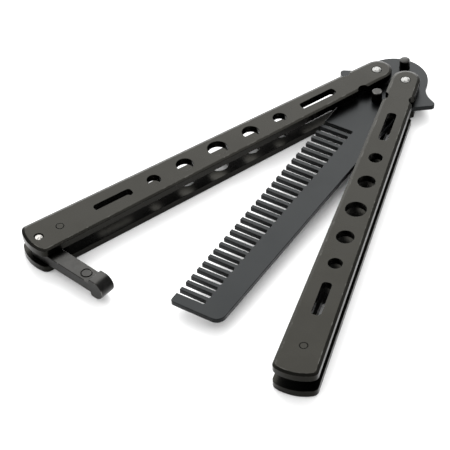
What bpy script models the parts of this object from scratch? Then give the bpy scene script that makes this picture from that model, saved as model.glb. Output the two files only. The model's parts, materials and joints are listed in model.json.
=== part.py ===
"""A folding comb with a butterfly handle.

A flat steel comb plate ends in a round tang with two finger guards. Two handles, each made of an upper
and a lower plate, turn on pivot pins through the tang, and the comb folds away between the plates. Two
pins through the tang stop the handles, and a latch on the end of the left handle hooks over the end of
the right one. The comb lies half open, with the undersides of the lower plates on the ground.

In the comb's own frame its mid-line runs along Y with its end towards -Y, and the pivots stand side by
side along X. The whole comb is then moved so that the middle of its footprint is at the origin.
"""
import math

import bmesh
import bpy
from mathutils import Vector

MM = 0.001

# Heights, from the ground up
TOTAL_HEIGHT = 8.5 * MM
PLATE_THICKNESS = 2.3 * MM
COMB_THICKNESS = 1.5 * MM
CLEARANCE = 0.3 * MM
MID_HEIGHT = TOTAL_HEIGHT / 2
TANG_TO_PLATE = MID_HEIGHT - COMB_THICKNESS / 2 - PLATE_THICKNESS

# Handles, with lengths measured from the pivot
PIVOT_SPACING = 10.0 * MM
HANDLE_HALF_WIDTH = 4.37 * MM
HANDLE_FLARE = 0.0162
HANDLE_LENGTH = 125.6 * MM
# How far past the pivot the round end has its centre
PIVOT_END_OFFSET = 0.35 * MM
END_BULGE_RADIUS = 13.0 * MM
END_BULGE_HALF_ANGLE = 20
END_CORNER_RADIUS = 2.0 * MM
# Round holes in each plate, a row for each: place along the handle, radius
LIGHTENING_HOLES = (
    (37.2 * MM, 2.04 * MM),
    (47.95 * MM, 2.57 * MM),
    (60.0 * MM, 3.06 * MM),
    (71.8 * MM, 2.57 * MM),
    (82.7 * MM, 2.04 * MM),
)
# Slots in each plate, a row for each: near end, far end
SLOTS = ((16.4 * MM, 29.0 * MM), (90.5 * MM, 103.1 * MM))
SLOT_HALF_WIDTH = 1.37 * MM
SLOT_CORNER_RADIUS = 1.0 * MM

# How far each handle is turned out from the comb's mid-line, in degrees
LEFT_OPEN = 22.5
RIGHT_OPEN = 14.6
FOLDED_SPLAY = 0.75

# Pins
PIVOT_PIN_RADIUS = 1.45 * MM
PIVOT_PIN_DOME = 0.3 * MM
WASHER_RADIUS = 3.2 * MM
RIVET_PLACE = 114.87 * MM
RIVET_RADIUS = 0.95 * MM
RIVET_SLEEVE_RADIUS = 1.3 * MM
LATCH_PIN_PLACE = 121.94 * MM
LATCH_PIN_RADIUS = 1.05 * MM
LATCH_PIN_HEIGHT = 8.0 * MM
TANG_PIN_RADIUS = 1.6 * MM
TANG_PIN_PLACE = 8.9 * MM
OUTER_TANG_PIN_HEIGHT = 8.2 * MM
INNER_TANG_PIN_HEIGHT = 7.5 * MM
PIN_EDGE = 0.15 * MM

# Tang and guards
TANG_CENTRE = Vector((0, 2.4 * MM))
TANG_RADIUS = 10.3 * MM
GUARD_TIP_CENTRE = Vector((15.1 * MM, -2.4 * MM))
GUARD_TIP_RADIUS = 1.15 * MM
GUARD_UPPER_SIDE = 63.4
GUARD_LOWER_SIDE = -52.1
GUARD_FILLET = 7.0 * MM
GUARD_ROOT_FILLET = 2.0 * MM

# Comb plate
COMB_END = -112.3 * MM
COMB_HALF_WIDTH_AT_TANG = 8.85 * MM
BACK_AT_END = 8.42 * MM
TOOTH_SIDE_AT_END = 7.95 * MM
BACK_CORNER_RADIUS = 3.0 * MM
TOOTH_SIDE_CORNER_RADIUS = 1.0 * MM
GAP_COUNT = 29
GAP_NEAREST_END = -108.05 * MM
GAP_PITCH = 2.921 * MM
GAP_WIDTHS = (1.4 * MM, 1.75 * MM)
GAP_ROOT = 1.0 * MM
GAP_ROOT_RADIUS = 0.45 * MM
TOOTH_TIP_RADIUS = 0.3 * MM

# Latch, with lengths measured from its pin
LATCH_PAST_SQUARE = 13.0
LATCH_ARM_HALF_WIDTH = 2.5 * MM
LATCH_ARM_THICKNESS = 3.3 * MM
LATCH_HEAD_START = 21.4 * MM
LATCH_HEAD_START_BELOW = 22.4 * MM
LATCH_HEAD_HALF_WIDTH = 2.5 * MM
LATCH_HEAD_ROUND = 3.0 * MM
LATCH_HEAD_ROUND_CENTRE = 23.8 * MM
LATCH_HEAD_OVERLAP = 1.5 * MM

ROUND_SIDES = 20
ARC_STEP = 15
SMALL_ARC_STEP = 45
SMALL_RADIUS = 0.9 * MM
WELD = 0.001 * MM


def start_scene():
    """Empties the scene and makes one collection for the comb and one for its joining shapes."""
    for item in list(bpy.data.objects):
        bpy.data.objects.remove(item, do_unlink=True)
    collections = []
    for name in ("folding_comb", "joining_shapes"):
        collection = bpy.data.collections.new(name)
        bpy.context.scene.collection.children.link(collection)
        collections.append(collection)
    return collections


def finish(name, colour, roughness, metallic):
    material = bpy.data.materials.new(name)
    material.use_nodes = True
    shader = material.node_tree.nodes["Principled BSDF"]
    shader.inputs["Base Color"].default_value = (*colour, 1)
    shader.inputs["Roughness"].default_value = roughness
    shader.inputs["Metallic"].default_value = metallic
    return material


def axis(name, parent, place=(0, 0), turn=0):
    """An empty on a joint's axis, turned about Z by an angle in degrees."""
    item = bpy.data.objects.new(name, None)
    item.empty_display_size = 5 * MM
    comb_collection.objects.link(item)
    item.parent = parent
    item.location = (*place, 0)
    item.rotation_euler = (0, 0, math.radians(turn))
    return item


def direction(angle):
    return Vector((math.cos(math.radians(angle)), math.sin(math.radians(angle))))


def arc(centre, radius, start, end, step=ARC_STEP):
    """Points on an arc from one angle to another, in degrees, both ends included."""
    count = max(1, round(abs(end - start) / step))
    return [centre + radius * direction(start + (end - start) * i / count) for i in range(count + 1)]


def circle(centre, radius):
    return arc(centre, radius, 0, 360, 360 / ROUND_SIDES)[:-1]


def sharp(points):
    return [(point.x, point.y, 0) for point in points]


def rounded(corners):
    """The outline through corners of (x, y, radius), each rounded to its radius, or left sharp at 0."""
    points = []
    for i, (x, y, radius) in enumerate(corners):
        corner = Vector((x, y))
        if radius == 0:
            points.append(corner)
            continue
        back = (Vector(corners[i - 1][:2]) - corner).normalized()
        on = (Vector(corners[(i + 1) % len(corners)][:2]) - corner).normalized()
        half_angle = back.angle(on) / 2
        centre = corner + (back + on).normalized() * radius / math.sin(half_angle)
        first = corner + back * radius / math.tan(half_angle) - centre
        last = corner + on * radius / math.tan(half_angle) - centre
        start = math.degrees(math.atan2(first.y, first.x))
        turn = math.degrees(math.atan2(first.cross(last), first.dot(last)))
        points += arc(centre, radius, start, start + turn, SMALL_ARC_STEP if radius < SMALL_RADIUS else ARC_STEP)
    return points


def mirrored(points):
    """The outline's other half, in reverse order."""
    return [Vector((-point.x, point.y)) for point in reversed(points)]


def add_piece(name, mesh, material, parent, place):
    item = bpy.data.objects.new(name, mesh)
    comb_collection.objects.link(item)
    mesh.materials.clear()
    mesh.materials.append(material)
    item.parent = parent
    item.location = place
    return item


def flat_piece(name, outlines, thickness, material, parent, height):
    """A plate cut to the first outline, with each other outline as a hole, its middle at a height."""
    curve = bpy.data.curves.new(name, "CURVE")
    curve.dimensions = "2D"
    curve.fill_mode = "BOTH"
    curve.extrude = thickness / 2
    for outline in outlines:
        spline = curve.splines.new("POLY")
        spline.points.add(len(outline) - 1)
        for point, place in zip(spline.points, outline):
            point.co = (place.x, place.y, 0, 1)
        spline.use_cyclic_u = True
    drawing = bpy.data.objects.new(name, curve)
    comb_collection.objects.link(drawing)
    bpy.context.view_layer.update()
    mesh = bpy.data.meshes.new_from_object(drawing.evaluated_get(bpy.context.evaluated_depsgraph_get()))
    bpy.data.objects.remove(drawing)
    bpy.data.curves.remove(curve)
    shape = bmesh.new()
    shape.from_mesh(mesh)
    bmesh.ops.remove_doubles(shape, verts=shape.verts, dist=WELD)
    bmesh.ops.recalc_face_normals(shape, faces=shape.faces)
    shape.to_mesh(mesh)
    shape.free()
    return add_piece(name, mesh, material, parent, (0, 0, height))


def turned_piece(name, profile, material, parent, place=(0, 0), ring=False):
    """A piece turned about Z from a profile of (radius, height) that runs down its outer side."""
    mesh = bpy.data.meshes.new(name)
    count = len(profile)
    edges = [(i, (i + 1) % count) for i in range(count if ring else count - 1)]
    mesh.from_pydata([(radius, 0, height) for radius, height in profile], edges, [])
    item = add_piece(name, mesh, material, parent, (*place, 0))
    turning = item.modifiers.new("turning", "SCREW")
    turning.steps = ROUND_SIDES
    turning.render_steps = ROUND_SIDES
    turning.use_merge_vertices = True
    turning.merge_threshold = WELD
    turning.use_smooth_shade = True
    return item


def comb_outline():
    """The tang, one guard, the back, the end, the toothed side and the other guard, clockwise."""
    side = direction(GUARD_UPPER_SIDE)
    run = Vector((side.y, -side.x))
    off = (GUARD_TIP_CENTRE - TANG_CENTRE).dot(side) + GUARD_TIP_RADIUS + GUARD_FILLET
    along = math.sqrt((TANG_RADIUS + GUARD_FILLET) ** 2 - off**2)
    fillet_centre = TANG_CENTRE + off * side + along * run
    to_fillet = fillet_centre - TANG_CENTRE
    meeting = math.degrees(math.atan2(to_fillet.y, to_fillet.x))
    guard = arc(TANG_CENTRE, TANG_RADIUS, 90, meeting)
    guard += arc(fillet_centre, GUARD_FILLET, meeting + 180, GUARD_UPPER_SIDE + 180)[1:]
    guard += arc(GUARD_TIP_CENTRE, GUARD_TIP_RADIUS, GUARD_UPPER_SIDE, GUARD_LOWER_SIDE)

    slope = -1 / math.tan(math.radians(GUARD_LOWER_SIDE))
    root_y = guard[-1].y - (guard[-1].x - COMB_HALF_WIDTH_AT_TANG) * slope
    flare = (COMB_HALF_WIDTH_AT_TANG - TOOTH_SIDE_AT_END) / (root_y - COMB_END)
    corners = sharp(guard)
    corners.append((COMB_HALF_WIDTH_AT_TANG, root_y, GUARD_ROOT_FILLET))
    corners.append((BACK_AT_END, COMB_END, BACK_CORNER_RADIUS))
    corners.append((-TOOTH_SIDE_AT_END, COMB_END, TOOTH_SIDE_CORNER_RADIUS))
    for i in range(GAP_COUNT):
        middle = GAP_NEAREST_END + GAP_PITCH * i
        half = GAP_WIDTHS[i % 2] / 2
        tip = -TOOTH_SIDE_AT_END - flare * (middle - COMB_END)
        corners.append((tip, middle - half, TOOTH_TIP_RADIUS))
        corners.append((GAP_ROOT, middle - half, GAP_ROOT_RADIUS))
        corners.append((GAP_ROOT, middle + half, GAP_ROOT_RADIUS))
        corners.append((tip, middle + half, TOOTH_TIP_RADIUS))
    corners.append((-COMB_HALF_WIDTH_AT_TANG, root_y, GUARD_ROOT_FILLET))
    corners += sharp(mirrored(guard)[:-1])
    return rounded(corners)


def comb_plate(parent):
    hole = PIVOT_PIN_RADIUS + CLEARANCE
    stop_hole = TANG_PIN_RADIUS + CLEARANCE
    outlines = [comb_outline()]
    for side in (-1, 1):
        outlines.append(circle(Vector((side * PIVOT_SPACING / 2, 0)), hole))
        outlines.append(circle(Vector((0, side * TANG_PIN_PLACE)), stop_hole))
    return flat_piece("comb", outlines, COMB_THICKNESS, dark_steel, parent, MID_HEIGHT)


def handle_half_width(along):
    return HANDLE_HALF_WIDTH + HANDLE_FLARE * along


def handle_outline():
    """A plate's edge, round at the pivot and bulged at its flared end, with a notch for a stop each side."""
    splay = direction(FOLDED_SPLAY)
    stop = Vector((
        PIVOT_SPACING / 2 * splay.x + TANG_PIN_PLACE * splay.y,
        PIVOT_SPACING / 2 * splay.y - TANG_PIN_PLACE * splay.x,
    ))
    notch_radius = TANG_PIN_RADIUS + CLEARANCE
    notch_half_angle = math.degrees(math.acos((stop.x - handle_half_width(-stop.y)) / notch_radius))
    bulge_centre = Vector((0, END_BULGE_RADIUS - HANDLE_LENGTH))
    reach = math.sqrt(END_BULGE_RADIUS**2 - handle_half_width(HANDLE_LENGTH) ** 2)
    corner_y = bulge_centre.y - reach

    corners = sharp(arc(Vector((0, PIVOT_END_OFFSET)), HANDLE_HALF_WIDTH, 90, 0))
    corners += sharp(arc(stop, notch_radius, 180 - notch_half_angle, 180 + notch_half_angle))
    corners.append((handle_half_width(-corner_y), corner_y, END_CORNER_RADIUS))
    corners += sharp(arc(bulge_centre, END_BULGE_RADIUS, END_BULGE_HALF_ANGLE - 90, -90, 5))
    half = rounded(corners)
    return half + mirrored(half)[1:-1]


def slot_outline(near, far):
    corners = []
    for x, y in ((-1, -far), (1, -far), (1, -near), (-1, -near)):
        corners.append((x * SLOT_HALF_WIDTH, y, SLOT_CORNER_RADIUS))
    return rounded(corners)


def handle_plate(name, hinge, height, latch_hole):
    outlines = [handle_outline(), circle(Vector((0, 0)), PIVOT_PIN_RADIUS + CLEARANCE)]
    for place, radius in LIGHTENING_HOLES:
        outlines.append(circle(Vector((0, -place)), radius))
    for near, far in SLOTS:
        outlines.append(slot_outline(near, far))
    outlines.append(circle(Vector((0, -RIVET_PLACE)), RIVET_RADIUS + CLEARANCE))
    if latch_hole:
        outlines.append(circle(Vector((0, -LATCH_PIN_PLACE)), LATCH_PIN_RADIUS + CLEARANCE))
    return flat_piece(name, outlines, PLATE_THICKNESS, black_coat, hinge, height)


def pivot_pin(name, parent, place):
    """A pin through a handle and the tang, with a low crown that stands proud of the upper plate."""
    crown = TOTAL_HEIGHT + PIVOT_PIN_DOME
    profile = [(PIVOT_PIN_RADIUS * share, crown - PIVOT_PIN_DOME * share**2) for share in (0, 0.4, 0.7, 0.9)]
    profile += [
        (PIVOT_PIN_RADIUS, TOTAL_HEIGHT - PIN_EDGE),
        (PIVOT_PIN_RADIUS, PIN_EDGE),
        (PIVOT_PIN_RADIUS - PIN_EDGE, 0),
        (0, 0),
    ]
    return turned_piece(name, profile, bright_steel, parent, place)


def washer(name, low, parent, place):
    """A ring round a pivot pin, between the tang and a plate."""
    high = low + TANG_TO_PLATE - 2 * CLEARANCE
    bore = PIVOT_PIN_RADIUS + CLEARANCE
    profile = [(bore, high), (WASHER_RADIUS, high), (WASHER_RADIUS, low), (bore, low)]
    return turned_piece(name, profile, bright_steel, parent, place, ring=True)


def plain_pin(name, radius, height, material, parent, place):
    """A pin with chamfered ends, its middle level with the middle of the comb."""
    low = MID_HEIGHT - height / 2
    high = MID_HEIGHT + height / 2
    profile = [
        (0, high),
        (radius - PIN_EDGE, high),
        (radius, high - PIN_EDGE),
        (radius, low + PIN_EDGE),
        (radius - PIN_EDGE, low),
        (0, low),
    ]
    return turned_piece(name, profile, material, parent, place)


def spacer_rivet(name, hinge):
    """A rivet flush with both plates of a handle, with a sleeve that holds the plates apart."""
    low = PLATE_THICKNESS + CLEARANCE
    high = TOTAL_HEIGHT - low
    profile = [
        (0, TOTAL_HEIGHT),
        (RIVET_RADIUS, TOTAL_HEIGHT),
        (RIVET_RADIUS, high),
        (RIVET_SLEEVE_RADIUS, high),
        (RIVET_SLEEVE_RADIUS, low),
        (RIVET_RADIUS, low),
        (RIVET_RADIUS, 0),
        (0, 0),
    ]
    return turned_piece(name, profile, black_coat, hinge, (0, -RIVET_PLACE))


def latch(hinge):
    """A flat arm that turns on the latch pin, joined to a half-round head whose back slants."""
    arm_end = LATCH_HEAD_START + LATCH_HEAD_OVERLAP
    arm = arc(Vector((0, 0)), LATCH_ARM_HALF_WIDTH, 0, 180)
    arm += [Vector((-LATCH_ARM_HALF_WIDTH, -arm_end)), Vector((LATCH_ARM_HALF_WIDTH, -arm_end))]
    bore = circle(Vector((0, 0)), LATCH_PIN_RADIUS + CLEARANCE)
    item = flat_piece("latch", [arm, bore], LATCH_ARM_THICKNESS, black_coat, hinge, MID_HEIGHT)

    side = arc(Vector((LATCH_HEAD_ROUND_CENTRE, 0)), LATCH_HEAD_ROUND, -90, 90)
    side += [Vector((LATCH_HEAD_START, LATCH_HEAD_ROUND)), Vector((LATCH_HEAD_START_BELOW, -LATCH_HEAD_ROUND))]
    head = flat_piece("latch_head", [side], 2 * LATCH_HEAD_HALF_WIDTH, black_coat, hinge, MID_HEIGHT)
    head.rotation_euler = (math.radians(90), 0, math.radians(-90))
    comb_collection.objects.unlink(head)
    joining_collection.objects.link(head)
    head.display_type = "WIRE"
    head.hide_render = True
    joining = item.modifiers.new("head", "BOOLEAN")
    joining.operation = "UNION"
    joining.object = head
    return item


def add_comb(base):
    comb_plate(base)
    pivots = {"left": (-PIVOT_SPACING / 2, 0), "right": (PIVOT_SPACING / 2, 0)}
    for side, place in pivots.items():
        pivot_pin(f"pivot_pin_{side}", base, place)
        washer(f"lower_washer_{side}", PLATE_THICKNESS + CLEARANCE, base, place)
        washer(f"upper_washer_{side}", MID_HEIGHT + COMB_THICKNESS / 2 + CLEARANCE, base, place)
    for name, height, y in (
        ("tang_pin_head", OUTER_TANG_PIN_HEIGHT, TANG_PIN_PLACE),
        ("tang_pin_blade", INNER_TANG_PIN_HEIGHT, -TANG_PIN_PLACE),
    ):
        plain_pin(name, TANG_PIN_RADIUS, height, black_coat, base, (0, y))


def add_handle(side, hinge, has_latch):
    handle_plate(f"{side}_bottom_plate", hinge, PLATE_THICKNESS / 2, has_latch)
    handle_plate(f"{side}_top_plate", hinge, TOTAL_HEIGHT - PLATE_THICKNESS / 2, has_latch)
    spacer_rivet(f"{side}_rivet", hinge)


def centre_over_origin(base):
    """Moves the whole comb so that the middle of its footprint is at the origin."""
    bpy.context.view_layer.update()
    graph = bpy.context.evaluated_depsgraph_get()
    places = []
    for item in comb_collection.objects:
        if item.type == "MESH":
            mesh = item.evaluated_get(graph).to_mesh()
            places += [item.matrix_world @ vertex.co for vertex in mesh.vertices]
    for i in (0, 1):
        values = [place[i] for place in places]
        base.location[i] = -(min(values) + max(values)) / 2


comb_collection, joining_collection = start_scene()
black_coat = finish("black_coat", (0.035, 0.034, 0.032), 0.42, 0.6)
dark_steel = finish("dark_steel", (0.03, 0.031, 0.032), 0.38, 0.6)
bright_steel = finish("bright_steel", (0.72, 0.72, 0.71), 0.25, 1)

comb_base = axis("comb_base", None)
left_hinge = axis("left_hinge", comb_base, (-PIVOT_SPACING / 2, 0), -LEFT_OPEN)
right_hinge = axis("right_hinge", comb_base, (PIVOT_SPACING / 2, 0), RIGHT_OPEN)
latch_hinge = axis("latch_hinge", left_hinge, (0, -LATCH_PIN_PLACE), 90 + LATCH_PAST_SQUARE)

add_comb(comb_base)
add_handle("left", left_hinge, True)
add_handle("right", right_hinge, False)
plain_pin("latch_pin", LATCH_PIN_RADIUS, LATCH_PIN_HEIGHT, bright_steel, left_hinge, (0, -LATCH_PIN_PLACE))
latch(latch_hinge)
centre_over_origin(comb_base)
bpy.context.view_layer.update()
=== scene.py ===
"""The looks of a black folding comb with a butterfly handle, which lies half open on a pale floor.

Each piece is drawn in millimetres in the frame of what carries it, with lengths measured from its pin,
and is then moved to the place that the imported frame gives. A handle and the latch point along -Y in
their own frames.
"""
import json
import math

import bmesh
import bpy
from mathutils import Matrix, Quaternion, Vector


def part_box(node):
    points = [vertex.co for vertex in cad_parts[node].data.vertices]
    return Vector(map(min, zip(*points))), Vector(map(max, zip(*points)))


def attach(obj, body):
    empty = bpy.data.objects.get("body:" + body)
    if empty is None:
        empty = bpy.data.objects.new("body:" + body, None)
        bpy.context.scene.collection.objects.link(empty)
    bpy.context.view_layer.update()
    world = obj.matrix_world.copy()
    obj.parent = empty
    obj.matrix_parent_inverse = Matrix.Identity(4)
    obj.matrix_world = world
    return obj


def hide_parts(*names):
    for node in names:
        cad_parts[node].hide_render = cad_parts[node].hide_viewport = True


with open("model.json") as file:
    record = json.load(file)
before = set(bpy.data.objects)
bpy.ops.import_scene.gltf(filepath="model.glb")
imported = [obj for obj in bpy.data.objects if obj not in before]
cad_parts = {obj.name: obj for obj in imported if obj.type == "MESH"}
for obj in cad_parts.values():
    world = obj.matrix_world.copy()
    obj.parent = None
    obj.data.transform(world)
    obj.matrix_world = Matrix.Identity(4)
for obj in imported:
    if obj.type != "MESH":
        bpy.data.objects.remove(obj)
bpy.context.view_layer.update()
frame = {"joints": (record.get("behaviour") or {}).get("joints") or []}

MM = 0.001

# Handle plates, with lengths measured from the pivot
HANDLE_HALF_WIDTH = 4.37
HANDLE_FLARE = 0.0162
HANDLE_LENGTH = 125.6
PIVOT_END_OFFSET = 0.35
END_BULGE_RADIUS = 13.0
END_BULGE_HALF_ANGLE = 20
END_CORNER_RADIUS = 2.0
EDGE_FACET = (0.9, 0.26)
HOLE_PLACES = ((37.2, 2.04), (47.95, 2.57), (60.0, 3.06), (71.8, 2.57), (82.7, 2.04))
SLOT_PLACES = (22.7, 96.8)
SLOT_LENGTH = 12.6
SLOT_WIDTH = 2.74
SLOT_CORNER_RADIUS = 1.0
PIVOT_SPACING = 10.0
FOLDED_SPLAY = 0.75

# Pins
PIVOT_PIN_RADIUS = 1.45
PIVOT_HOLE_RADIUS = 1.56
PIVOT_CROWN = 0.28
RIVET_PLACE = 114.87
RIVET_RADIUS = 1.05
RIVET_HOLE_RADIUS = 1.17
SLEEVE_RADIUS = 1.3
LATCH_PIN_PLACE = 121.94
LATCH_PIN_RADIUS = 1.12
LATCH_PIN_HOLE_RADIUS = 1.35
TANG_PIN_RADIUS = 1.6
TANG_PIN_PLACE = 8.9
TANG_PIN_DOME = 0.3
STOP_CLEARANCE = 0.3

# Tang, guards and comb plate
TANG_CENTRE = Vector((0, 2.4))
TANG_RADIUS = 10.3
GUARD_TIP_CENTRE = Vector((15.1, -2.4))
GUARD_TIP_RADIUS = 1.15
GUARD_UPPER_SIDE = 63.4
GUARD_LOWER_SIDE = -52.1
GUARD_FILLET = 7.0
GUARD_ROOT_FILLET = 2.0
COMB_END = -112.3
COMB_HALF_WIDTH_AT_TANG = 8.85
BACK_AT_END = 8.42
TOOTH_SIDE_AT_END = 7.95
BACK_CORNER_RADIUS = 3.0
TOOTH_SIDE_CORNER_RADIUS = 1.0
GAP_COUNT = 29
GAP_NEAREST_END = -108.05
GAP_PITCH = 2.921
NARROW_GAP = 1.4
WIDE_GAP = 1.75
GAP_ROOT = 1.0
GAP_ROOT_RADIUS = 0.45

# Latch, with lengths measured from its pin
LATCH_TURN = 103
LATCH_ARM_HALF_WIDTH = 2.5
LATCH_ARM_THICKNESS = 3.3
LATCH_HEAD_START = 21.4
LATCH_HEAD_START_BELOW = 22.4
LATCH_HEAD_ROUND = 3.0
LATCH_HEAD_ROUND_CENTRE = 23.8
LATCH_HEAD_INNER_CORNER = 0.8
RING_MARK_PLACE = 18.6
RING_MARK_RADIUS = 1.55
RING_MARK_WIDTH = 0.08
RING_MARK_DEPTH = 0.02

# Sizes that only the looks need
WASHER_RADIUS = 3.2
PLATE_SOFTENING = 0.12
COMB_SOFTENING = 0.16
LATCH_SOFTENING = 0.2
PIN_SOFTENING = 0.1
RIVET_SOFTENING = 0.1
TANG_PIN_SOFTENING = 0.35

# Cutters, which reach past what they cut, with a depth through it as a factor
GAP_CUT_LENGTH = 12.0
THROUGH_CUT = 4
DRILL_MARGIN = 1.0
LATCH_CUT_MARGIN = 3.0
MERGE_DISTANCE = 0.0001

# Fineness, with steps in degrees and the rings of a dome as shares of its radius
ARC_STEP = 6
LARGE_ARC_STEP = 3
SMALL_ARC_STEP = 10
SMALL_RADIUS = 0.9
ROUND_SIDES = 64
HOLE_SIDES = 56
CUTTER_CORNER_SIDES = 9
DOME_RINGS = (0, 0.25, 0.5, 0.7, 0.85, 0.95)
BEVEL_ANGLE = 13
BEVEL_SEGMENTS = 2

# Finishes, with scales in features a metre and depths in millimetres
# Each look's edge colour is paler, partly for worn coating and partly as a painted highlight along the
# softened edges.
PLATE_LOOK = {
    "colour": (0.0119, 0.0115, 0.0099), "paler": (0.0149, 0.0144, 0.0125),
    "worn_and_highlit": (0.03, 0.0295, 0.027), "roughness": 0.27, "roughness change": 0.1,
    "grain scale": 2600, "mottle scale": 85, "grain depth": 0.012, "grain strength": 0.35,
}
COMB_LOOK = {
    "colour": (0.0112, 0.0119, 0.0122), "paler": (0.0144, 0.0152, 0.0155),
    "worn_and_highlit": (0.028, 0.029, 0.029), "roughness": 0.32, "roughness change": 0.1,
    "grain scale": 2200, "mottle scale": 70, "grain depth": 0.01, "grain strength": 0.35,
}
CAST_LOOK = {
    "colour": (0.0165, 0.0163, 0.0155), "paler": (0.033, 0.0325, 0.031),
    "worn_and_highlit": (0.09, 0.088, 0.084), "roughness": 0.33, "roughness change": 0.18,
    "grain scale": 1300, "mottle scale": 260, "grain depth": 0.03, "grain strength": 0.5,
}
MOTTLE_FROM = 0.35
MOTTLE_TO = 0.65
# Paler patches along the softened edges: worn coating, and a painted highlight where light catches them.
WORN_AND_HIGHLIT_PATCH_SCALE = 420
WORN_AND_HIGHLIT_FADE = 0.12
WORN_AND_HIGHLIT_ROUGHNESS_CHANGE = -0.1
EDGE_WORN_AND_HIGHLIT_SHARE = 0.5
PIVOT_BRIGHT = (0.18, 0.18, 0.174)
LATCH_PIN_BRIGHT = (0.235, 0.23, 0.218)
PIN_DULL = (0.07, 0.069, 0.065)
PIN_RINGS_PER_METRE = 5200
PIN_RING_HEIGHT_SHARE = 0.12
PIN_DENT_SCALE = 1500
PIN_DENT_FROM = 0.52
PIN_DENT_TO = 0.66
PIN_DENT_ROUGHNESS_CHANGE = 0.2
PIN_ROUGHNESS = 0.36
PIN_RELIEF_DEPTH = 0.06
PIN_RELIEF_STRENGTH = 0.5

# Studio, in metres and watts
FLOOR_REACH = 3.0
FLOOR_COLOUR = (0.93, 0.93, 0.93)
FLOOR_PALER = (0.95, 0.95, 0.95)
FLOOR_TINT_SCALE = 6.0
FLOOR_SPECULAR = 0.1
FLOOR_ROUGHNESS = 0.9
SURROUND_COLOUR = (1, 1, 1)
SURROUND_STRENGTH = 1.35
MIRRORED_STRENGTH = 0.55
SOFTBOXES = (
    ("back left box", (-0.36, 0.54, 0.62), (0.75, 0.75), 8.7),
    ("low back box", (-0.67, 0.96, 0.26), (1.5, 0.25), 7.0),
)

# Camera, in the comb's frame, and its lens and sensor in millimetres
CAMERA_PLACE = Vector((213.5274, -416.0973, 388.8310))
CAMERA_AIM = Vector((-13.61, -74.81, 0))
CAMERA_ROLL = -2.46
CAMERA_LENS = 156.49
CAMERA_SENSOR = 36
CAMERA_NEAREST = 10


def packed_middle(node):
    low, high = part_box(node)
    return (low + high) / 2 / MM


def packed_heights(node):
    """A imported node's lowest and highest height."""
    low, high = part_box(node)
    return low.z / MM, high.z / MM


def standing_at(place, turn):
    """The frame at a place, turned about Z by an angle in degrees."""
    return Matrix.Translation((place.x, place.y, 0)) @ Matrix.Rotation(math.radians(turn), 4, "Z")


def turn_towards(start, end):
    """The angle in degrees that turns -Y towards a place."""
    run = end - start
    return math.degrees(math.atan2(run.y, run.x)) + 90


def body_frames():
    """Each body's own frame at rest, worked out from the hinges and the rivets."""
    hinges = {joint["name"]: Vector(joint["pos_m"]) / MM for joint in frame["joints"]}
    left = hinges["left_handle_hinge"]
    right = hinges["right_handle_hinge"]
    left_turn = turn_towards(left, packed_middle("left_rivet"))
    right_turn = turn_towards(right, packed_middle("right_rivet"))
    return {
        "comb": standing_at((left + right) / 2, 0),
        "left_handle": standing_at(left, left_turn),
        "right_handle": standing_at(right, right_turn),
        "latch": standing_at(hinges["latch_hinge"], left_turn + LATCH_TURN),
    }


def direction(angle):
    return Vector((math.cos(math.radians(angle)), math.sin(math.radians(angle))))


def arc(centre, radius, start, end, step=ARC_STEP):
    """Points on an arc from one angle to another, in degrees, both ends included."""
    count = max(1, round(abs(end - start) / step))
    return [centre + radius * direction(start + (end - start) * i / count) for i in range(count + 1)]


def sharp(points):
    return [(point.x, point.y, 0) for point in points]


def rounded(corners):
    """The outline through corners of (x, y, radius), each rounded to its radius, or left sharp at 0."""
    points = []
    for i, (x, y, radius) in enumerate(corners):
        corner = Vector((x, y))
        if radius == 0:
            points.append(corner)
            continue
        back = (Vector(corners[i - 1][:2]) - corner).normalized()
        on = (Vector(corners[(i + 1) % len(corners)][:2]) - corner).normalized()
        half_angle = back.angle(on) / 2
        centre = corner + (back + on).normalized() * radius / math.sin(half_angle)
        first = corner + back * radius / math.tan(half_angle) - centre
        last = corner + on * radius / math.tan(half_angle) - centre
        start = math.degrees(math.atan2(first.y, first.x))
        turn = math.degrees(math.atan2(first.cross(last), first.dot(last)))
        step = SMALL_ARC_STEP if radius < SMALL_RADIUS else ARC_STEP
        points += arc(centre, radius, start, start + turn, step)
    return points


def mirrored(points):
    """The outline's other half, in reverse order."""
    return [Vector((-point.x, point.y)) for point in reversed(points)]


def anticlockwise(points):
    area = sum(points[i - 1].cross(points[i]) for i in range(len(points)))
    return points if area > 0 else points[::-1]


def inset(points, width):
    """An anticlockwise outline moved inwards by a width, point by point."""
    moved = []
    for i, point in enumerate(points):
        before = (point - points[i - 1]).normalized()
        after = (points[(i + 1) % len(points)] - point).normalized()
        inwards = Vector((-before.y - after.y, before.x + after.x)).normalized()
        half_turn = math.sqrt((1 + before.dot(after)) / 2)
        moved.append(point + inwards * width / half_turn)
    return moved


def handle_half_width(along):
    return HANDLE_HALF_WIDTH + HANDLE_FLARE * along


def stop_place():
    """Where the inner stop pin stands in the frame of a folded handle."""
    splay = direction(FOLDED_SPLAY)
    return Vector((
        PIVOT_SPACING / 2 * splay.x + TANG_PIN_PLACE * splay.y,
        PIVOT_SPACING / 2 * splay.y - TANG_PIN_PLACE * splay.x,
    ))


def handle_outline():
    """A plate's edge before it is notched, round at the pivot and bulged at its flared end."""
    bulge_centre = Vector((0, END_BULGE_RADIUS - HANDLE_LENGTH))
    reach = math.sqrt(END_BULGE_RADIUS**2 - handle_half_width(HANDLE_LENGTH) ** 2)
    corner_y = bulge_centre.y - reach

    corners = sharp(arc(Vector((0, PIVOT_END_OFFSET)), HANDLE_HALF_WIDTH, 90, 0))
    corners.append((handle_half_width(-corner_y), corner_y, END_CORNER_RADIUS))
    bulge = arc(bulge_centre, END_BULGE_RADIUS, END_BULGE_HALF_ANGLE - 90, -90, LARGE_ARC_STEP)
    corners += sharp(bulge)
    half = rounded(corners)
    return anticlockwise(half + mirrored(half)[1:-1])


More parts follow.
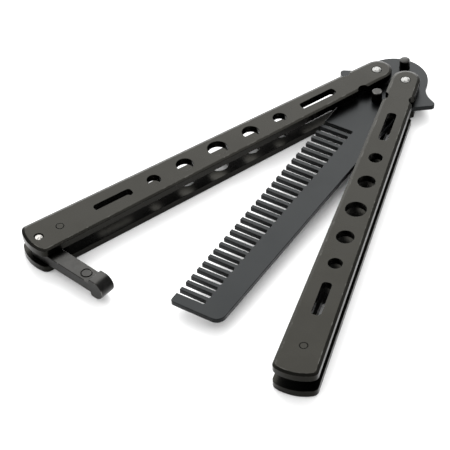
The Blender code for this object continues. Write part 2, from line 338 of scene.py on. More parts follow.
def comb_outline():
    """The tang, the guards, the back and the end, with the toothed side still uncut."""
    side = direction(GUARD_UPPER_SIDE)
    run = Vector((side.y, -side.x))
    off = (GUARD_TIP_CENTRE - TANG_CENTRE).dot(side) + GUARD_TIP_RADIUS + GUARD_FILLET
    along = math.sqrt((TANG_RADIUS + GUARD_FILLET) ** 2 - off**2)
    fillet_centre = TANG_CENTRE + off * side + along * run
    to_fillet = fillet_centre - TANG_CENTRE
    meeting = math.degrees(math.atan2(to_fillet.y, to_fillet.x))
    guard = arc(TANG_CENTRE, TANG_RADIUS, 90, meeting, LARGE_ARC_STEP)
    fillet = arc(fillet_centre, GUARD_FILLET, meeting + 180, GUARD_UPPER_SIDE + 180, LARGE_ARC_STEP)
    guard += fillet[1:]
    guard += arc(GUARD_TIP_CENTRE, GUARD_TIP_RADIUS, GUARD_UPPER_SIDE, GUARD_LOWER_SIDE)

    slope = -1 / math.tan(math.radians(GUARD_LOWER_SIDE))
    root_y = guard[-1].y - (guard[-1].x - COMB_HALF_WIDTH_AT_TANG) * slope
    corners = sharp(guard)
    corners.append((COMB_HALF_WIDTH_AT_TANG, root_y, GUARD_ROOT_FILLET))
    corners.append((BACK_AT_END, COMB_END, BACK_CORNER_RADIUS))
    corners.append((-TOOTH_SIDE_AT_END, COMB_END, TOOTH_SIDE_CORNER_RADIUS))
    corners.append((-COMB_HALF_WIDTH_AT_TANG, root_y, GUARD_ROOT_FILLET))
    corners += sharp(mirrored(guard)[:-1])
    return anticlockwise(rounded(corners))


def stacked(name, outline, levels):
    """A closed mesh through copies of an outline, one for each level of (inset, height), lowest first."""
    shape = bmesh.new()
    rings = []
    for width, height in levels:
        rings.append([shape.verts.new((point.x, point.y, height)) for point in inset(outline, width)])
    shape.faces.new(rings[0][::-1])
    shape.faces.new(rings[-1])
    for low, high in zip(rings, rings[1:]):
        for i in range(len(outline)):
            shape.faces.new((low[i - 1], low[i], high[i], high[i - 1]))
    return as_mesh(name, shape)


def turned(name, profile, closed=False):
    """A mesh turned about Z from a profile of (radius, height) that runs down its outer side."""
    shape = bmesh.new()
    rings = []
    for radius, height in profile:
        if radius == 0:
            rings.append([shape.verts.new((0, 0, height))] * ROUND_SIDES)
            continue
        ring = [radius * direction(360 * i / ROUND_SIDES) for i in range(ROUND_SIDES)]
        rings.append([shape.verts.new((point.x, point.y, height)) for point in ring])
    if closed:
        rings.append(rings[0])
    for high, low in zip(rings, rings[1:]):
        for i in range(ROUND_SIDES):
            corners = (high[i - 1], low[i - 1], low[i], high[i])
            shape.faces.new(list(dict.fromkeys(corners)))
    return as_mesh(name, shape)


def as_mesh(name, shape):
    mesh = bpy.data.meshes.new(name)
    shape.to_mesh(mesh)
    shape.free()
    return mesh


def node(tree, kind, inputs=None, **settings):
    """A node with its settings, whose inputs are given as values or as the sockets that feed them."""
    made = tree.nodes.new(kind)
    for setting, value in settings.items():
        setattr(made, setting, value)
    for socket, value in (inputs or {}).items():
        if isinstance(value, bpy.types.NodeSocket):
            tree.links.new(value, made.inputs[socket])
        else:
            made.inputs[socket].default_value = value
    return made


def maths(tree, operation, *values):
    """The result of a maths node on values or sockets."""
    return node(tree, "ShaderNodeMath", dict(enumerate(values)), operation=operation).outputs[0]


def new_group(name, kind, inputs, outputs):
    """A node group with named sockets, as (tree, input node, output node)."""
    tree = bpy.data.node_groups.new(name, kind)
    for socket, socket_kind in inputs:
        tree.interface.new_socket(socket, in_out="INPUT", socket_type=f"NodeSocket{socket_kind}")
    for socket, socket_kind in outputs:
        tree.interface.new_socket(socket, in_out="OUTPUT", socket_type=f"NodeSocket{socket_kind}")
    return tree, tree.nodes.new("NodeGroupInput"), tree.nodes.new("NodeGroupOutput")


def evaluated_mesh(item):
    bpy.context.view_layer.update()
    graph = bpy.context.evaluated_depsgraph_get()
    return bpy.data.meshes.new_from_object(item.evaluated_get(graph))


def helper_object(name, mesh):
    item = bpy.data.objects.new(name, mesh)
    bpy.context.scene.collection.objects.link(item)
    return item


def made_by_nodes(name, blank, tree, values):
    """The plain mesh that a Geometry Nodes tree makes from a blank, with the tree's inputs set by name."""
    item = helper_object(name, blank)
    step = item.modifiers.new(tree.name, "NODES")
    step.node_group = tree
    for socket in tree.interface.items_tree:
        if socket.in_out == "INPUT" and socket.name in values:
            step[socket.identifier] = values[socket.name]
    mesh = evaluated_mesh(item)
    bpy.data.objects.remove(item)
    return mesh


def combined(name, first, second, operation):
    """One mesh made of two by a Boolean."""
    item = helper_object(name, first)
    tool = helper_object(f"{name}_tool", second)
    step = item.modifiers.new("combining", "BOOLEAN")
    step.operation = operation
    step.object = tool
    mesh = evaluated_mesh(item)
    bpy.data.objects.remove(item)
    bpy.data.objects.remove(tool)
    return mesh


def rounded_cutter(tree, length, width, radius, depth):
    """Nodes for a closed block with rounded corners, its length along X and its depth along Z."""
    edge = node(tree, "GeometryNodeCurvePrimitiveQuadrilateral", {"Width": length, "Height": width})
    round_edge = node(
        tree, "GeometryNodeFilletCurve",
        {"Curve": edge.outputs[0], "Radius": radius, "Count": CUTTER_CORNER_SIDES}, mode="POLY",
    )
    face = node(tree, "GeometryNodeFillCurve", {"Curve": round_edge.outputs[0]}, mode="NGONS")
    lowered = node(tree, "ShaderNodeCombineXYZ", {"Z": maths(tree, "MULTIPLY", depth, -0.5)})
    low_face = node(
        tree, "GeometryNodeSetPosition", {"Geometry": face.outputs[0], "Offset": lowered.outputs[0]},
    )
    walls = node(
        tree, "GeometryNodeExtrudeMesh",
        {"Mesh": low_face.outputs[0], "Offset Scale": depth, "Individual": False},
    )
    under = node(tree, "GeometryNodeFlipFaces", {"Mesh": low_face.outputs[0]})
    both = node(tree, "GeometryNodeJoinGeometry", {"Geometry": walls.outputs[0]})
    tree.links.new(under.outputs[0], both.inputs["Geometry"])
    return node(
        tree, "GeometryNodeMergeByDistance", {"Geometry": both.outputs[0], "Distance": MERGE_DISTANCE},
    )


def cut_away(tree, ends, cutters):
    """Ends a tree: the blank less the cutters, in the given material."""
    start, finish = ends
    real = node(tree, "GeometryNodeRealizeInstances", {"Geometry": cutters.outputs[0]})
    cut = node(
        tree, "GeometryNodeMeshBoolean", {"Mesh 1": start.outputs["Blank"]},
        operation="DIFFERENCE", solver="EXACT",
    )
    tree.links.new(real.outputs[0], cut.inputs["Mesh 2"])
    whole = node(tree, "GeometryNodeRealizeInstances", {"Geometry": cut.outputs[0]})
    coloured = node(
        tree, "GeometryNodeSetMaterial",
        {"Geometry": whole.outputs[0], "Material": start.outputs["Material"]},
    )
    tree.links.new(coloured.outputs[0], finish.inputs[0])


def tooth_gap_tree():
    """Cuts the gaps between the teeth of a comb, in turn narrow and wide, from its end towards its tang."""
    inputs = [
        ("Blank", "Geometry"), ("Gap count", "Int"), ("Pitch", "Float"), ("First gap", "Float"),
        ("Root", "Float"), ("Gap length", "Float"), ("Narrow gap", "Float"), ("Wide gap", "Float"),
        ("Root radius", "Float"), ("Depth", "Float"), ("Middle height", "Float"), ("Material", "Material"),
    ]
    tree, start, finish = new_group("tooth gaps", "GeometryNodeTree", inputs, [("Comb", "Geometry")])
    given = start.outputs
    middle = maths(tree, "SUBTRACT", given["Root"], maths(tree, "MULTIPLY", given["Gap length"], 0.5))
    first = node(
        tree, "ShaderNodeCombineXYZ",
        {"X": middle, "Y": given["First gap"], "Z": given["Middle height"]},
    )
    step = node(tree, "ShaderNodeCombineXYZ", {"Y": given["Pitch"]})
    row = node(
        tree, "GeometryNodeMeshLine",
        {"Count": given["Gap count"], "Start Location": first.outputs[0], "Offset": step.outputs[0]},
    )
    index = node(tree, "GeometryNodeInputIndex")
    odd = maths(tree, "MODULO", index.outputs[0], 2)
    even = maths(tree, "SUBTRACT", 1, odd)
    rows = []
    for width, chosen in (("Narrow gap", even), ("Wide gap", odd)):
        cutter = rounded_cutter(
            tree, given["Gap length"], given[width], given["Root radius"], given["Depth"],
        )
        rows.append(node(
            tree, "GeometryNodeInstanceOnPoints",
            {"Points": row.outputs[0], "Selection": chosen, "Instance": cutter.outputs[0]},
        ))
    cutters = node(tree, "GeometryNodeJoinGeometry", {"Geometry": rows[0].outputs[0]})
    tree.links.new(rows[1].outputs[0], cutters.inputs["Geometry"])
    cut_away(tree, (start, finish), cutters)
    return tree


def piercing_tree():
    """Pierces a handle plate at marked places: round where a radius is marked, and slotted where it is 0."""
    inputs = [
        ("Blank", "Geometry"), ("Places", "Object"), ("Slot length", "Float"), ("Slot width", "Float"),
        ("Slot corner", "Float"), ("Sides", "Int"), ("Depth", "Float"), ("Material", "Material"),
    ]
    tree, start, finish = new_group("plate piercing", "GeometryNodeTree", inputs, [("Plate", "Geometry")])
    given = start.outputs
    places = node(tree, "GeometryNodeObjectInfo", {"Object": given["Places"]})
    radius = node(tree, "GeometryNodeInputNamedAttribute", {"Name": "radius"}, data_type="FLOAT")
    is_round = maths(tree, "GREATER_THAN", radius.outputs[0], 0)
    is_slot = maths(tree, "SUBTRACT", 1, is_round)
    drill = node(
        tree, "GeometryNodeMeshCylinder",
        {"Vertices": given["Sides"], "Radius": 1, "Depth": given["Depth"]},
    )
    size = node(tree, "ShaderNodeCombineXYZ", {"X": radius.outputs[0], "Y": radius.outputs[0], "Z": 1})
    holes = node(
        tree, "GeometryNodeInstanceOnPoints",
        {
            "Points": places.outputs["Geometry"], "Selection": is_round,
            "Instance": drill.outputs["Mesh"], "Scale": size.outputs[0],
        },
    )
    mill = rounded_cutter(
        tree, given["Slot width"], given["Slot length"], given["Slot corner"], given["Depth"],
    )
    slots = node(
        tree, "GeometryNodeInstanceOnPoints",
        {"Points": places.outputs["Geometry"], "Selection": is_slot, "Instance": mill.outputs[0]},
    )
    cutters = node(tree, "GeometryNodeJoinGeometry", {"Geometry": holes.outputs[0]})
    tree.links.new(slots.outputs[0], cutters.inputs["Geometry"])
    cut_away(tree, (start, finish), cutters)
    return tree


def coat_grain_group():
    """Fine grain and broad mottling of a coating."""
    inputs = [
        ("Place", "Vector"), ("Colour", "Color"), ("Paler colour", "Color"), ("Grain scale", "Float"),
        ("Mottle scale", "Float"), ("Roughness", "Float"), ("Roughness change", "Float"),
    ]
    outputs = [("Colour", "Color"), ("Roughness", "Float"), ("Height", "Float")]
    tree, start, finish = new_group("coat grain", "ShaderNodeTree", inputs, outputs)
    given = start.outputs
    grain = node(
        tree, "ShaderNodeTexNoise",
        {"Vector": given["Place"], "Scale": given["Grain scale"], "Detail": 3, "Roughness": 0.6},
    )
    mottle = node(
        tree, "ShaderNodeTexNoise",
        {"Vector": given["Place"], "Scale": given["Mottle scale"], "Detail": 4, "Roughness": 0.55},
    )
    patches = node(
        tree, "ShaderNodeMapRange",
        {"Value": mottle.outputs[0], "From Min": MOTTLE_FROM, "From Max": MOTTLE_TO},
        interpolation_type="SMOOTHSTEP",
    )
    fine = maths(tree, "MULTIPLY", grain.outputs[0], 0.5)
    broad = maths(tree, "MULTIPLY", patches.outputs[0], 0.5)
    share = maths(tree, "ADD", fine, broad)
    colour = mixed(tree, share, given["Colour"], given["Paler colour"])
    centred = maths(tree, "SUBTRACT", share, 0.5)
    change = maths(tree, "MULTIPLY", centred, given["Roughness change"])
    rough = maths(tree, "ADD", given["Roughness"], change)
    tree.links.new(colour, finish.inputs["Colour"])
    tree.links.new(rough, finish.inputs["Roughness"])
    tree.links.new(grain.outputs[0], finish.inputs["Height"])
    return tree


def worn_and_highlit_edge_group():
    """Patches of paler colour along an edge: the coating worn thin, and a painted highlight along it."""
    inputs = [
        ("Place", "Vector"), ("Coat colour", "Color"), ("Rubbed colour", "Color"),
        ("Patch scale", "Float"), ("Rubbed share", "Float"),
    ]
    tree, start, finish = new_group(
        "rubbed edge", "ShaderNodeTree", inputs, [("Colour", "Color"), ("Worn and highlit", "Float")],
    )
    given = start.outputs
    patches = node(
        tree, "ShaderNodeTexNoise",
        {"Vector": given["Place"], "Scale": given["Patch scale"], "Detail": 5, "Roughness": 0.65},
    )
    unrubbed = maths(tree, "SUBTRACT", 1, given["Rubbed share"])
    past = maths(tree, "ADD", unrubbed, WORN_AND_HIGHLIT_FADE)
    mask = node(
        tree, "ShaderNodeMapRange",
        {"Value": patches.outputs[0], "From Min": unrubbed, "From Max": past},
        interpolation_type="SMOOTHSTEP",
    )
    # The paler colour is worn coating and a painted highlight on the edge.
    colour = mixed(tree, mask.outputs[0], given["Coat colour"], given["Rubbed colour"])
    tree.links.new(colour, finish.inputs["Colour"])
    tree.links.new(mask.outputs[0], finish.inputs["Worn and highlit"])
    return tree


def turned_marks_group():
    """Fine rings round a pin's middle, with the dull dents of a peened head."""
    inputs = [
        ("Place", "Vector"), ("Bright colour", "Color"), ("Dull colour", "Color"),
        ("Rings per metre", "Float"), ("Dent scale", "Float"), ("Roughness", "Float"),
    ]
    outputs = [("Colour", "Color"), ("Roughness", "Float"), ("Height", "Float")]
    tree, start, finish = new_group("turned marks", "ShaderNodeTree", inputs, outputs)
    given = start.outputs
    flat = node(tree, "ShaderNodeVectorMath", {0: given["Place"], 1: (1, 1, 0)}, operation="MULTIPLY")
    radius = node(tree, "ShaderNodeVectorMath", {0: flat.outputs[0]}, operation="LENGTH")
    turns = maths(tree, "MULTIPLY", radius.outputs["Value"], given["Rings per metre"])
    rings = maths(tree, "SINE", maths(tree, "MULTIPLY", turns, math.tau))
    dents = node(
        tree, "ShaderNodeTexNoise",
        {"Vector": given["Place"], "Scale": given["Dent scale"], "Detail": 2, "Roughness": 0.5},
    )
    dull = node(
        tree, "ShaderNodeMapRange",
        {"Value": dents.outputs[0], "From Min": PIN_DENT_FROM, "From Max": PIN_DENT_TO},
        interpolation_type="SMOOTHSTEP",
    )
    colour = mixed(tree, dull.outputs[0], given["Bright colour"], given["Dull colour"])
    rougher = maths(
        tree, "MULTIPLY_ADD", dull.outputs[0], PIN_DENT_ROUGHNESS_CHANGE, given["Roughness"],
    )
    height = maths(tree, "MULTIPLY_ADD", rings, PIN_RING_HEIGHT_SHARE, dents.outputs[0])
    tree.links.new(colour, finish.inputs["Colour"])
    tree.links.new(rougher, finish.inputs["Roughness"])
    tree.links.new(height, finish.inputs["Height"])
    return tree


def mixed(tree, share, first, second):
    """The colour between two others, by a share from 0 to 1."""
    return node(tree, "ShaderNodeMix", {0: share, 6: first, 7: second}, data_type="RGBA").outputs[2]


def new_material(name, metallic):
    """A material with its tree, its shader and the place on the piece."""
    material = bpy.data.materials.new(name)
    material.use_nodes = True
    tree = material.node_tree
    shader = tree.nodes["Principled BSDF"]
    shader.inputs["Metallic"].default_value = metallic
    place = node(tree, "ShaderNodeTexCoord").outputs["Object"]
    return material, tree, shader, place


def grouped(tree, group, inputs):
    """The outputs of a shader node group in a material, with its inputs by name."""
    return node(tree, "ShaderNodeGroup", inputs, node_tree=group).outputs


def opaque(colour):
    return (*colour, 1)


def relief(tree, shader, height, depth, strength):
    """Feeds a height to the shader's normal, as relief of a depth in millimetres."""
    bump = node(tree, "ShaderNodeBump", {"Height": height, "Distance": depth * MM, "Strength": strength})
    tree.links.new(bump.outputs[0], shader.inputs["Normal"])


def coated(name, look, worn_and_highlit_share=0.0):
    """Steel with a black coating. With a share of paler patches it is the finish of the piece's edges, worn
    thin and lightened as a painted highlight.
    """
    material, tree, shader, place = new_material(name, 1)
    grain = grouped(tree, coat_grain, {
        "Place": place, "Colour": opaque(look["colour"]), "Paler colour": opaque(look["paler"]),
        "Grain scale": look["grain scale"], "Mottle scale": look["mottle scale"],
        "Roughness": look["roughness"], "Roughness change": look["roughness change"],
    })
    colour = grain["Colour"]
    roughness = grain["Roughness"]
    if worn_and_highlit_share:
        # Paler edge patches: worn coating and a painted highlight.
        worn_and_highlit = grouped(tree, worn_and_highlit_edge, {
            "Place": place, "Coat colour": colour, "Rubbed colour": opaque(look["worn_and_highlit"]),
            "Patch scale": WORN_AND_HIGHLIT_PATCH_SCALE, "Rubbed share": worn_and_highlit_share,
        })
        colour = worn_and_highlit["Colour"]
        roughness = maths(tree, "MULTIPLY_ADD", worn_and_highlit["Worn and highlit"], WORN_AND_HIGHLIT_ROUGHNESS_CHANGE, roughness)
    tree.links.new(colour, shader.inputs["Base Color"])
    tree.links.new(roughness, shader.inputs["Roughness"])
    relief(tree, shader, grain["Height"], look["grain depth"], look["grain strength"])
    return material


def bright_pin(name, centre, bright):
    """Bright steel turned and peened about a pin's own centre."""
    material, tree, shader, place = new_material(name, 1)
    centred = node(
        tree, "ShaderNodeMapping",
        {"Vector": place, "Location": (-centre.x * MM, -centre.y * MM, 0)},
    )
    marks = grouped(tree, turned_marks, {
        "Place": centred.outputs[0], "Bright colour": opaque(bright), "Dull colour": opaque(PIN_DULL),
        "Rings per metre": PIN_RINGS_PER_METRE, "Dent scale": PIN_DENT_SCALE, "Roughness": PIN_ROUGHNESS,
    })
    tree.links.new(marks["Colour"], shader.inputs["Base Color"])
    tree.links.new(marks["Roughness"], shader.inputs["Roughness"])
    relief(tree, shader, marks["Height"], PIN_RELIEF_DEPTH, PIN_RELIEF_STRENGTH)
    return material


def dress(name, mesh, body, cad_node, materials, softening):
    """Puts a piece in its body's place, with its edges softened in the last of its materials, which is paler
    there for wear and as a painted highlight.
    """
    mesh.name = name
    mesh.transform(Matrix.Scale(MM, 4) @ frames[body])
    mesh.materials.clear()
    for material in materials:
        mesh.materials.append(material)
    mesh.polygons.foreach_set("material_index", [0] * len(mesh.polygons))
    mesh.polygons.foreach_set("use_smooth", [True] * len(mesh.polygons))
    piece = bpy.data.objects.new(name, mesh)
    bpy.context.scene.collection.objects.link(piece)
    bevel = piece.modifiers.new("soft edges", "BEVEL")
    bevel.width = softening * MM
    bevel.segments = BEVEL_SEGMENTS
    bevel.limit_method = "ANGLE"
    bevel.angle_limit = math.radians(BEVEL_ANGLE)
    bevel.use_clamp_overlap = False
    bevel.harden_normals = True
    # The softened edges take the paler edge material: worn coating and a painted highlight.
    bevel.material = len(materials) - 1
    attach(piece, body)
    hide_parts(cad_node)


def hole_marks(marks):
    """Points at each (sideways place, place along the piece, radius), for a piercing tree to read."""
    mesh = bpy.data.meshes.new("hole_marks")
    mesh.from_pydata([(sideways, -along, 0) for sideways, along, _ in marks], [], [])
    radii = mesh.attributes.new("radius", "FLOAT", "POINT")
    radii.data.foreach_set("value", [radius for _, _, radius in marks])
    return helper_object("hole_marks", mesh)


def handle_plate(side, level, has_latch):
    """One plate of a handle, with the shallow facet round its outer face."""
    cad_node = f"{side}_{level}_plate"
    low, high = packed_heights(cad_node)
    facet_width, facet_depth = EDGE_FACET
    if level == "top":
        levels = [(0, low), (0, high - facet_depth), (facet_width, high)]
    else:
        levels = [(facet_width, low), (0, low + facet_depth), (0, high)]
    marks = [(0, 0, PIVOT_HOLE_RADIUS), (0, RIVET_PLACE, RIVET_HOLE_RADIUS)]
    marks += [(0, along, radius) for along, radius in HOLE_PLACES]
    marks += [(0, along, 0) for along in SLOT_PLACES]
    stop = stop_place()
    marks += [(sideways, -stop.y, TANG_PIN_RADIUS + STOP_CLEARANCE) for sideways in (-stop.x, stop.x)]
    if has_latch:
        marks.append((0, LATCH_PIN_PLACE, LATCH_PIN_HOLE_RADIUS))
    places = hole_marks(marks)
    mesh = made_by_nodes(f"{side}_{level}", stacked("plate_blank", handle_outline(), levels), piercing, {
        "Places": places, "Slot length": SLOT_LENGTH, "Slot width": SLOT_WIDTH,
        "Slot corner": SLOT_CORNER_RADIUS, "Sides": HOLE_SIDES, "Depth": THROUGH_CUT * high,
        "Material": plate_coat[0],
    })
    bpy.data.objects.remove(places)
    dress(
        f"{side}_handle_{level}", mesh, f"{side}_handle", cad_node,
        plate_coat, PLATE_SOFTENING,
    )


def toothed_comb():
    """The tang, guards and teeth, all one plate, drilled for the two pivots and the two stop pins."""
    low, high = packed_heights("comb")
    middle = (low + high) / 2
    blank = stacked("comb_blank", comb_outline(), [(0, low), (0, high)])
    mesh = made_by_nodes("toothed", blank, tooth_gaps, {
        "Gap count": GAP_COUNT, "Pitch": GAP_PITCH, "First gap": GAP_NEAREST_END, "Root": GAP_ROOT,
        "Gap length": GAP_CUT_LENGTH, "Narrow gap": NARROW_GAP, "Wide gap": WIDE_GAP,
        "Root radius": GAP_ROOT_RADIUS, "Depth": THROUGH_CUT * (high - low), "Middle height": middle,
        "Material": comb_coat[0],
    })
    drilled = [(x, 0, PIVOT_HOLE_RADIUS) for x in (-PIVOT_SPACING / 2, PIVOT_SPACING / 2)]
    drilled += [(0, y, TANG_PIN_RADIUS) for y in (TANG_PIN_PLACE, -TANG_PIN_PLACE)]
    for x, y, radius in drilled:
        mesh = combined("toothed", mesh, drill_at(Vector((x, y)), radius, low, high), "DIFFERENCE")
    dress("toothed_comb", mesh, "comb", "comb", comb_coat, COMB_SOFTENING)


def drill_at(place, radius, low, high):
    """A round cutter that stands through a plate."""
    top = high + DRILL_MARGIN
    bottom = low - DRILL_MARGIN
    mesh = turned("drill", [(0, top), (radius, top), (radius, bottom), (0, bottom)])
    mesh.transform(Matrix.Translation((place.x, place.y, 0)))
    return mesh


def pin_at(name, profile, place, body, cad_node, materials, softening, closed=False):
    """A dressed piece turned about a place in its body's frame."""
    mesh = turned(name, profile, closed)
    mesh.transform(Matrix.Translation((place.x, place.y, 0)))
    dress(name, mesh, body, cad_node, materials, softening)


def domed(radius, edge, top):
    """The profile of a low dome that stands on an edge height, from its middle out."""
    rise = top - edge
    return [(radius * share, edge + rise * (1 - share**2)) for share in DOME_RINGS]


def pivots():
    """The bright pins that the handles turn on, and the washers between the tang and the plates."""
    plate_low, plate_high = packed_heights("left_top_plate")
    comb_low, comb_high = packed_heights("comb")
    for side, x in (("left", -PIVOT_SPACING / 2), ("right", PIVOT_SPACING / 2)):
        place = Vector((x, 0))
        centre = frames["comb"] @ Vector((x, 0, 0))
        steel = [bright_pin(f"bright_steel_{side}_pivot", centre, PIVOT_BRIGHT)]
        profile = domed(PIVOT_PIN_RADIUS, plate_high, plate_high + PIVOT_CROWN)
        profile += [(PIVOT_PIN_RADIUS, plate_high), (PIVOT_PIN_RADIUS, 0), (0, 0)]
        pin_at(
            f"{side}_pivot", profile, place, "comb", f"pivot_pin_{side}",
            steel, PIN_SOFTENING,
        )
        for level, low, high in (
            ("lower", packed_heights("left_bottom_plate")[1], comb_low),
            ("upper", comb_high, plate_low),
        ):
            bore = PIVOT_HOLE_RADIUS
            ring = [(bore, high), (WASHER_RADIUS, high), (WASHER_RADIUS, low), (bore, low)]
            pin_at(
                f"{side}_{level}_spacer", ring, place, "comb", f"{level}_washer_{side}",
                steel, PIN_SOFTENING, closed=True,
            )


def tang_pins():
    """The two black pins that stop the handles: the outer one domed, the inner one flat."""
    low, high = packed_heights("tang_pin_head")
    outer = domed(TANG_PIN_RADIUS, high - TANG_PIN_DOME, high)
    outer += [(TANG_PIN_RADIUS, high - TANG_PIN_DOME), (TANG_PIN_RADIUS, low), (0, low)]
    inner = [(0, high), (TANG_PIN_RADIUS, high), (TANG_PIN_RADIUS, low), (0, low)]
    for name, profile, y, softening in (
        ("tang_pin_head", outer, TANG_PIN_PLACE, PIN_SOFTENING),
        ("tang_pin_blade", inner, -TANG_PIN_PLACE, TANG_PIN_SOFTENING),
    ):
        pin_at(
            name.replace("pin", "stop"), profile, Vector((0, y)), "comb", name,
            cast_coat, softening,
        )


def rivets():
    """The flush black rivet and spacing sleeve near each handle's end."""
    bottom = packed_heights("left_bottom_plate")
    top = packed_heights("left_top_plate")
    profile = [
        (0, top[1]), (RIVET_RADIUS, top[1]), (RIVET_RADIUS, top[0]), (SLEEVE_RADIUS, top[0]),
        (SLEEVE_RADIUS, bottom[1]), (RIVET_RADIUS, bottom[1]), (RIVET_RADIUS, bottom[0]), (0, bottom[0]),
    ]
    for side in ("left", "right"):
        pin_at(
            f"{side}_handle_rivet", profile, Vector((0, -RIVET_PLACE)), f"{side}_handle", f"{side}_rivet",
            plate_coat, RIVET_SOFTENING,
        )


def head_back_at(height):
    """How far from the pin the head's slanted back is, at a height from the latch's middle."""
    share = (LATCH_HEAD_ROUND - height) / (2 * LATCH_HEAD_ROUND)
    return LATCH_HEAD_START + share * (LATCH_HEAD_START_BELOW - LATCH_HEAD_START)


def latch_and_pin():
    """The latch with its half-round head and ring mark, and the bright pin that it turns on."""
    low, high = packed_heights("latch_pin")
    place = Vector((0, -LATCH_PIN_PLACE))
    centre = frames["left_handle"] @ Vector((0, -LATCH_PIN_PLACE, 0))
    steel = [bright_pin("bright_steel_latch_pin", centre, LATCH_PIN_BRIGHT)]
    profile = [(0, high), (LATCH_PIN_RADIUS, high), (LATCH_PIN_RADIUS, low), (0, low)]
    pin_at("latch_pivot", profile, place, "left_handle", "latch_pin", steel, PIN_SOFTENING)

    head_low, head_high = packed_heights("latch")
    middle = (head_low + head_high) / 2
    half_thickness = LATCH_ARM_THICKNESS / 2
    arm_low = middle - half_thickness
    arm_high = middle + half_thickness

    # The arm's outline from above, cut to the latch's outline from the side
    past_end = LATCH_HEAD_ROUND_CENTRE + LATCH_HEAD_ROUND + LATCH_CUT_MARGIN
    past_pin = -LATCH_ARM_HALF_WIDTH - LATCH_CUT_MARGIN
    outline = arc(Vector((0, 0)), LATCH_ARM_HALF_WIDTH, 0, 180)
    outline += [Vector((-LATCH_ARM_HALF_WIDTH, -past_end)), Vector((LATCH_ARM_HALF_WIDTH, -past_end))]
    heights = [(0, head_low - LATCH_CUT_MARGIN), (0, head_high + LATCH_CUT_MARGIN)]
    from_above = stacked("from_above", anticlockwise(outline), heights)

    side = sharp(arc(Vector((LATCH_HEAD_ROUND_CENTRE, 0)), LATCH_HEAD_ROUND, -90, 90))
    side += [
        (LATCH_HEAD_START, LATCH_HEAD_ROUND, LATCH_HEAD_INNER_CORNER),
        (head_back_at(half_thickness), half_thickness, 0),
        (past_pin, half_thickness, 0),
        (past_pin, -half_thickness, 0),
        (head_back_at(-half_thickness), -half_thickness, 0),
        (LATCH_HEAD_START_BELOW, -LATCH_HEAD_ROUND, LATCH_HEAD_INNER_CORNER),
    ]
    reach = LATCH_ARM_HALF_WIDTH + LATCH_CUT_MARGIN
    from_side = stacked("from_side", anticlockwise(rounded(side)), [(0, -reach), (0, reach)])
    from_side.transform(Matrix(((0, 0, -1, 0), (-1, 0, 0, 0), (0, 1, 0, middle), (0, 0, 0, 1))))
    mesh = combined("latch_body", from_above, from_side, "INTERSECT")

    inner = RING_MARK_RADIUS - RING_MARK_WIDTH / 2
    outer = RING_MARK_RADIUS + RING_MARK_WIDTH / 2
    top = arm_high + DRILL_MARGIN
    bottom = arm_high - RING_MARK_DEPTH
    ring = turned("ring_mark", [(inner, top), (outer, top), (outer, bottom), (inner, bottom)], closed=True)
    ring.transform(Matrix.Translation((0, -RING_MARK_PLACE, 0)))
    mesh = combined("latch_body", mesh, ring, "DIFFERENCE")
    bore = drill_at(Vector((0, 0)), LATCH_PIN_HOLE_RADIUS, arm_low, arm_high)
    mesh = combined("latch_body", mesh, bore, "DIFFERENCE")
    dress("latch_arm", mesh, "latch", "latch", cast_coat, LATCH_SOFTENING)


def softbox(name, place, aim, size, power):
    """An area light of a width and height at a place, in metres, turned to an aim."""
    lamp = bpy.data.lights.new(name, "AREA")
    lamp.shape = "RECTANGLE"
    lamp.size, lamp.size_y = size
    lamp.energy = power
    item = bpy.data.objects.new(name, lamp)
    item.location = place
    item.rotation_euler = (Vector(aim) - Vector(place)).to_track_quat("-Z", "Y").to_euler()
    bpy.context.scene.collection.objects.link(item)


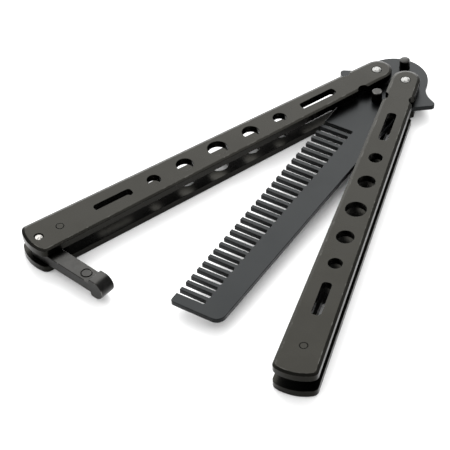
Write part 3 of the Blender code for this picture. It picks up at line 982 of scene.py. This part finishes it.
def studio():
    """A pale floor, a soft box that the upper faces mirror, a low one for their far edges, and an even
    surround, which is darker where the steel mirrors it than where it lights the floor."""
    mesh = bpy.data.meshes.new("pale_floor")
    quarters = ((-1, -1), (1, -1), (1, 1), (-1, 1))
    mesh.from_pydata([(FLOOR_REACH * x, FLOOR_REACH * y, 0) for x, y in quarters], [], [(0, 1, 2, 3)])
    material, tree, shader, place = new_material("pale_floor", 0)
    shader.inputs["Specular IOR Level"].default_value = FLOOR_SPECULAR
    shader.inputs["Roughness"].default_value = FLOOR_ROUGHNESS
    tint = node(tree, "ShaderNodeTexNoise", {"Vector": place, "Scale": FLOOR_TINT_SCALE, "Detail": 2})
    colour = mixed(tree, tint.outputs[0], opaque(FLOOR_COLOUR), opaque(FLOOR_PALER))
    tree.links.new(colour, shader.inputs["Base Color"])
    mesh.materials.append(material)
    floor = bpy.data.objects.new("pale_floor", mesh)
    bpy.context.scene.collection.objects.link(floor)

    for name, place, size, power in SOFTBOXES:
        softbox(name, place, (0, 0, 0), size, power)
    world = bpy.data.worlds.new("even surround")
    world.use_nodes = True
    surround = world.node_tree.nodes["Background"]
    surround.inputs["Color"].default_value = opaque(SURROUND_COLOUR)
    kind = node(world.node_tree, "ShaderNodeLightPath")
    strength = node(
        world.node_tree, "ShaderNodeMapRange",
        {"Value": kind.outputs["Is Glossy Ray"], "To Min": SURROUND_STRENGTH, "To Max": MIRRORED_STRENGTH},
    )
    world.node_tree.links.new(strength.outputs[0], surround.inputs["Strength"])
    bpy.context.scene.world = world
    bpy.context.scene.view_settings.view_transform = "Standard"


def camera():
    """The camera at the photo's view."""
    lens = bpy.data.cameras.new("camera")
    lens.lens = CAMERA_LENS
    lens.sensor_width = CAMERA_SENSOR
    lens.clip_start = CAMERA_NEAREST * MM
    item = bpy.data.objects.new("camera", lens)
    place = frames["comb"] @ CAMERA_PLACE
    sight = CAMERA_AIM - CAMERA_PLACE
    item.location = place * MM
    item.rotation_mode = "QUATERNION"
    roll = Quaternion((0, 0, 1), math.radians(CAMERA_ROLL))
    item.rotation_quaternion = sight.to_track_quat("-Z", "Y") @ roll
    bpy.context.scene.collection.objects.link(item)
    bpy.context.scene.camera = item


frames = body_frames()
coat_grain = coat_grain_group()
worn_and_highlit_edge = worn_and_highlit_edge_group()
turned_marks = turned_marks_group()
tooth_gaps = tooth_gap_tree()
piercing = piercing_tree()
# Each finish has a second material for the softened edges, paler for wear and as a painted highlight.
plate_coat, comb_coat, cast_coat = (
    [coated(name, look), coated(f"{name}_edges", look, EDGE_WORN_AND_HIGHLIT_SHARE)]
    for name, look in (("black_coat", PLATE_LOOK), ("dark_steel", COMB_LOOK), ("black_coat_cast", CAST_LOOK))
)

camera()
for handle_side in ("left", "right"):
    for plate_level in ("bottom", "top"):
        handle_plate(handle_side, plate_level, handle_side == "left")
toothed_comb()
pivots()
tang_pins()
rivets()
latch_and_pin()
studio()
